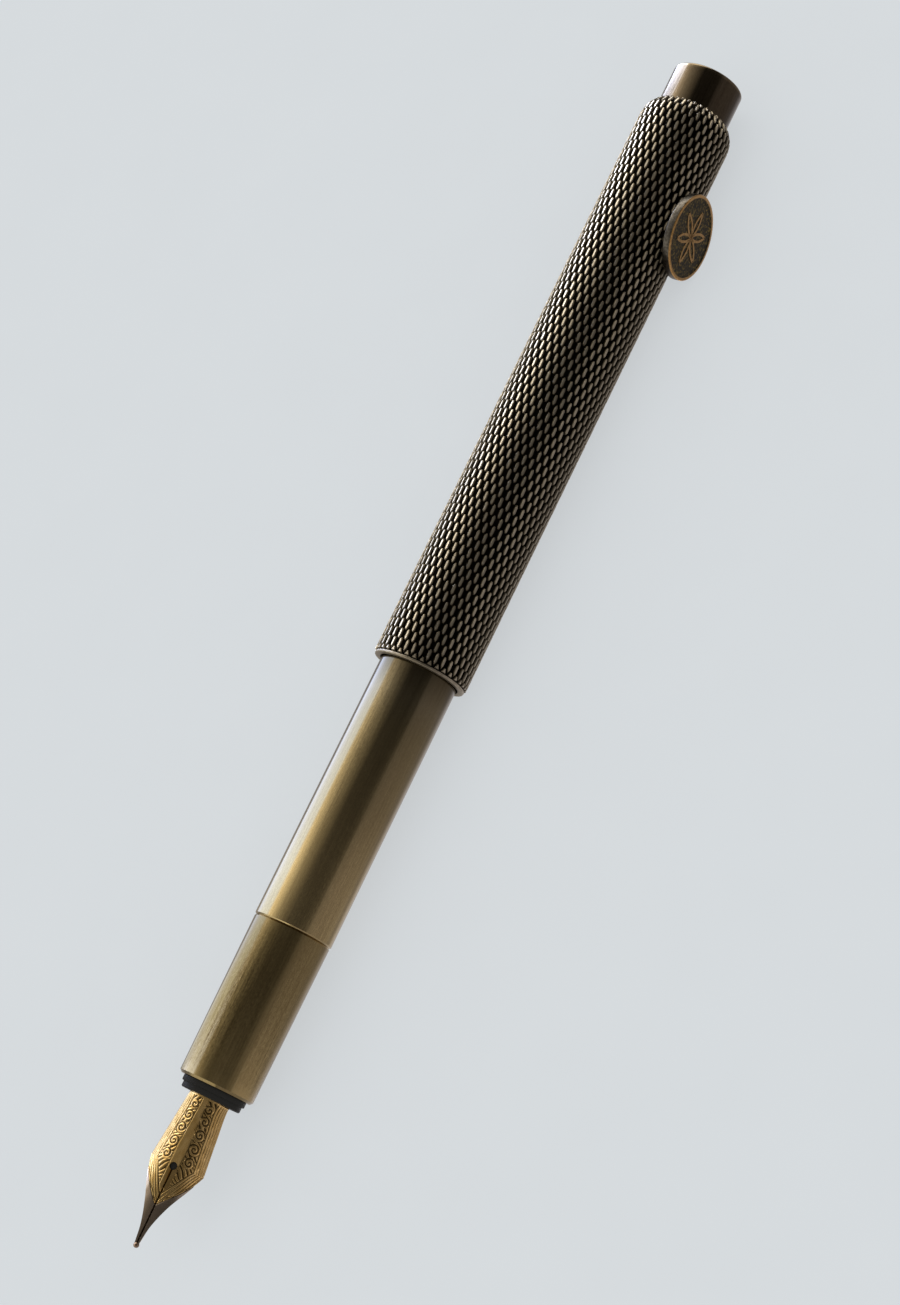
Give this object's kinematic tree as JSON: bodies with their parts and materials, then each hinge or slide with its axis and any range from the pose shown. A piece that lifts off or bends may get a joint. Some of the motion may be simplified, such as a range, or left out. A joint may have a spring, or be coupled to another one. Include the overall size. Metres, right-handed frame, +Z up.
{
  "type": "fountain pen",
  "caption": "Brass fountain pen with knurled slip cap posted on a plain barrel, a coin-shaped roll stop, a screw-in nib unit and a screw-piston converter inside.",
  "frame": {"origin": "on the desk, below the middle of the pen's box", "axes": "+X from the nib towards the posted cap's end, +Z up, roll stop on the -Y side"},
  "size_m": [0.1574, 0.014, 0.012],
  "materials": {
    "antique_brass": "brushed and darkened, satin",
    "knurled_brass": "knurled, darkened in the grooves and worn bright on the crests",
    "stop_brass": "dark mottled face with worn edges",
    "raw_brass": "turned",
    "gold_plate": "polished gold plate with engraved lines",
    "hard_tipping": "polished",
    "bright_steel": "polished",
    "black_plastic": "moulded",
    "white_plastic": "moulded",
    "clear_plastic": "clear",
    "seal_rubber": "matt"
  },
  "bodies": {
    "grip": {"section_shell": "antique_brass", "section_core": "black_plastic", "section_o_ring": "seal_rubber"},
    "nib_seal": {"nib_gasket": "seal_rubber"},
    "nib_unit": {"nib_housing": "black_plastic", "nib": "gold_plate", "nib_tipping": "hard_tipping", "feed": "black_plastic"},
    "washer": {"barrel_washer": "white_plastic"},
    "barrel_carrier": {"posting_o_ring": "seal_rubber"},
    "barrel": {"barrel_tube": "antique_brass", "barrel_thread_bush": "raw_brass", "barrel_end_plug": "antique_brass"},
    "cap_grip": {"cap_clutch_ring": "bright_steel"},
    "cap": {"cap_sleeve": "knurled_brass", "cap_liner": "black_plastic", "cap_finial": "antique_brass", "roll_stop_post": "antique_brass", "roll_stop_disc": "stop_brass"},
    "converter": {"converter_socket": "black_plastic", "converter_tube": "clear_plastic", "converter_collar": "bright_steel"},
    "knob": {"converter_knob": "black_plastic", "converter_spindle": "white_plastic"},
    "piston": {"piston_carrier": "white_plastic", "piston_seal": "seal_rubber"}
  },
  "joints": [
    {"name": "nib_turn", "type": "hinge", "parent": "nib_seal", "child": "nib_unit", "pos_m": [-0.05375, 0.00096, 0.006], "axis": [-1, 0, 0], "range_deg": [0, 3601]},
    {"name": "nib_travel", "type": "slide", "parent": "grip", "child": "nib_seal", "axis": [-1, 0, 0], "range_m": [0, 0.005]},
    {"name": "barrel_turn", "type": "hinge", "parent": "barrel_carrier", "child": "barrel", "pos_m": [-0.01875, 0.00096, 0.006], "axis": [1, 0, 0], "range_deg": [0, 3241]},
    {"name": "barrel_thread_travel", "type": "slide", "parent": "grip", "child": "washer", "axis": [1, 0, 0], "range_m": [0, 0.00675]},
    {"name": "barrel_draw_off", "type": "slide", "parent": "washer", "child": "barrel_carrier", "axis": [1, 0, 0], "range_m": [0, 0.06]},
    {"name": "cap_pull", "type": "slide", "parent": "barrel", "child": "cap_grip", "axis": [1, 0, 0], "range_m": [0, 0.055]},
    {"name": "cap_turn", "type": "hinge", "parent": "cap_grip", "child": "cap", "pos_m": [0.03125, 0.00096, 0.006], "axis": [1, 0, 0], "continuous": true},
    {"name": "converter_pull", "type": "slide", "parent": "grip", "child": "converter", "axis": [1, 0, 0], "range_m": [0, 0.02]},
    {"name": "knob_turn", "type": "hinge", "parent": "converter", "child": "knob", "pos_m": [0.00925, 0.00096, 0.006], "axis": [1, 0, 0], "range_deg": [0, 4321]},
    {"name": "piston_travel", "type": "slide", "parent": "converter", "child": "piston", "axis": [1, 0, 0], "range_m": [0, 0.018]}
  ],
  "couplings": [
    {"joint": "nib_turn", "follows": "nib_travel", "rad_per_m": 12566},
    {"joint": "barrel_turn", "follows": "barrel_thread_travel", "rad_per_m": 8377.6},
    {"joint": "knob_turn", "follows": "piston_travel", "rad_per_m": 4188.8}
  ]
}
